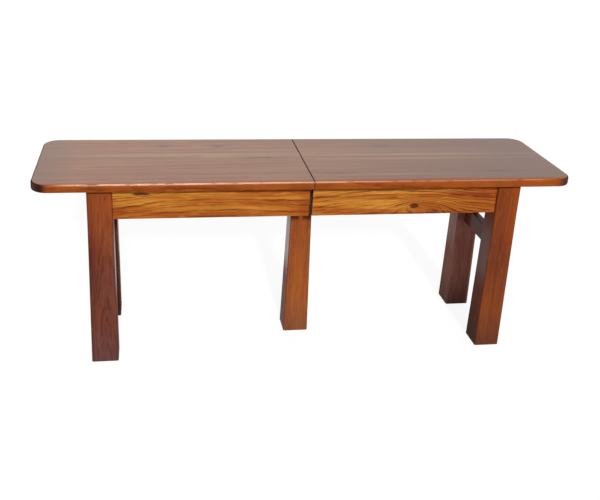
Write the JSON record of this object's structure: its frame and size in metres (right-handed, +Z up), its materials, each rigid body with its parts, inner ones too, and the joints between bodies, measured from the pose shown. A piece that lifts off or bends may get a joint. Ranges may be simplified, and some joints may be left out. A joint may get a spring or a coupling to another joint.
{
  "type": "extendable bench",
  "caption": "Stained oak bench whose seat parts at a middle seam and draws apart on dovetailed wooden slides over a centre leg.",
  "frame": {"origin": "on the floor under the middle of the seam, centred front to back", "axes": "+X along the bench to the right, +Y to the back, +Z up"},
  "size_m": [1.24, 0.322, 0.457],
  "materials": {
    "oak_top": "stained oak, satin varnish, grain along the bench",
    "oak_apron": "stained flat-sawn oak with bold grain, satin varnish",
    "oak_leg": "dark stained oak, satin varnish, upright grain",
    "inner_wood": "plain unstained hardwood, planed",
    "steel": "zinc-plated steel",
    "brass": "plain brass"
  },
  "bodies": {
    "centre": {"centre_leg": "oak_leg", "centre_block": "inner_wood", "slide_centre_front": "inner_wood", "slide_centre_back": "inner_wood", "centre_block_screws": "steel", "centre_leg_lags": "steel", "pinion_post": "steel", "pinion_clip": "steel"},
    "pinion": {"pinion": "steel"},
    "left": {"top_left": "oak_top", "apron_front_left": "oak_apron", "apron_back_left": "oak_apron", "apron_end_left": "oak_apron", "leg_front_left": "oak_leg", "leg_back_left": "oak_leg", "end_rail_left": "oak_leg", "corner_block_front_left": "inner_wood", "corner_block_back_left": "inner_wood", "hanger_bolts_left": "steel", "hanger_washers_left": "steel", "hanger_nuts_left": "steel", "corner_screws_left": "steel", "apron_screws_left": "steel", "slide_left_front": "inner_wood", "slide_left_back": "inner_wood", "slide_screws_left": "steel", "stop_pins_left": "steel", "rack_left": "steel", "rack_screws_left": "steel", "seam_pins": "inner_wood", "lock_plate_front": "brass", "lock_keeper_back": "brass", "lock_screws_left": "brass"},
    "right": {"top_right": "oak_top", "apron_front_right": "oak_apron", "apron_back_right": "oak_apron", "apron_end_right": "oak_apron", "leg_front_right": "oak_leg", "leg_back_right": "oak_leg", "end_rail_right": "oak_leg", "corner_block_front_right": "inner_wood", "corner_block_back_right": "inner_wood", "hanger_bolts_right": "steel", "hanger_washers_right": "steel", "hanger_nuts_right": "steel", "corner_screws_right": "steel", "apron_screws_right": "steel", "slide_right_front": "inner_wood", "slide_right_back": "inner_wood", "slide_screws_right": "steel", "stop_pins_right": "steel", "rack_right": "steel", "rack_screws_right": "steel", "lock_plate_back": "brass", "lock_keeper_front": "brass", "lock_screws_right": "brass"},
    "hook_front": {"lock_hook_front": "brass"},
    "hook_back": {"lock_hook_back": "brass"}
  },
  "joints": [
    {"name": "slide_left", "type": "slide", "parent": "centre", "child": "left", "axis": [-1, 0, 0], "range_m": [0, 0.305]},
    {"name": "slide_right", "type": "slide", "parent": "centre", "child": "right", "axis": [1, 0, 0], "range_m": [0, 0.305]},
    {"name": "pinion_spin", "type": "hinge", "parent": "centre", "child": "pinion", "pos_m": [0, 0, 0.4148], "axis": [0, 0, 1], "range_deg": [0, 971]},
    {"name": "hook_front_swing", "type": "hinge", "parent": "left", "child": "hook_front", "pos_m": [-0.024, -0.1052, 0.412], "axis": [0, -1, 0], "range_deg": [0, 90]},
    {"name": "hook_back_swing", "type": "hinge", "parent": "right", "child": "hook_back", "pos_m": [0.024, 0.1052, 0.412], "axis": [0, 1, 0], "range_deg": [0, 90]}
  ],
  "couplings": [
    {"joint": "slide_right", "follows": "slide_left", "ratio": 1},
    {"joint": "pinion_spin", "follows": "slide_left", "rad_per_m": 55.556}
  ]
}
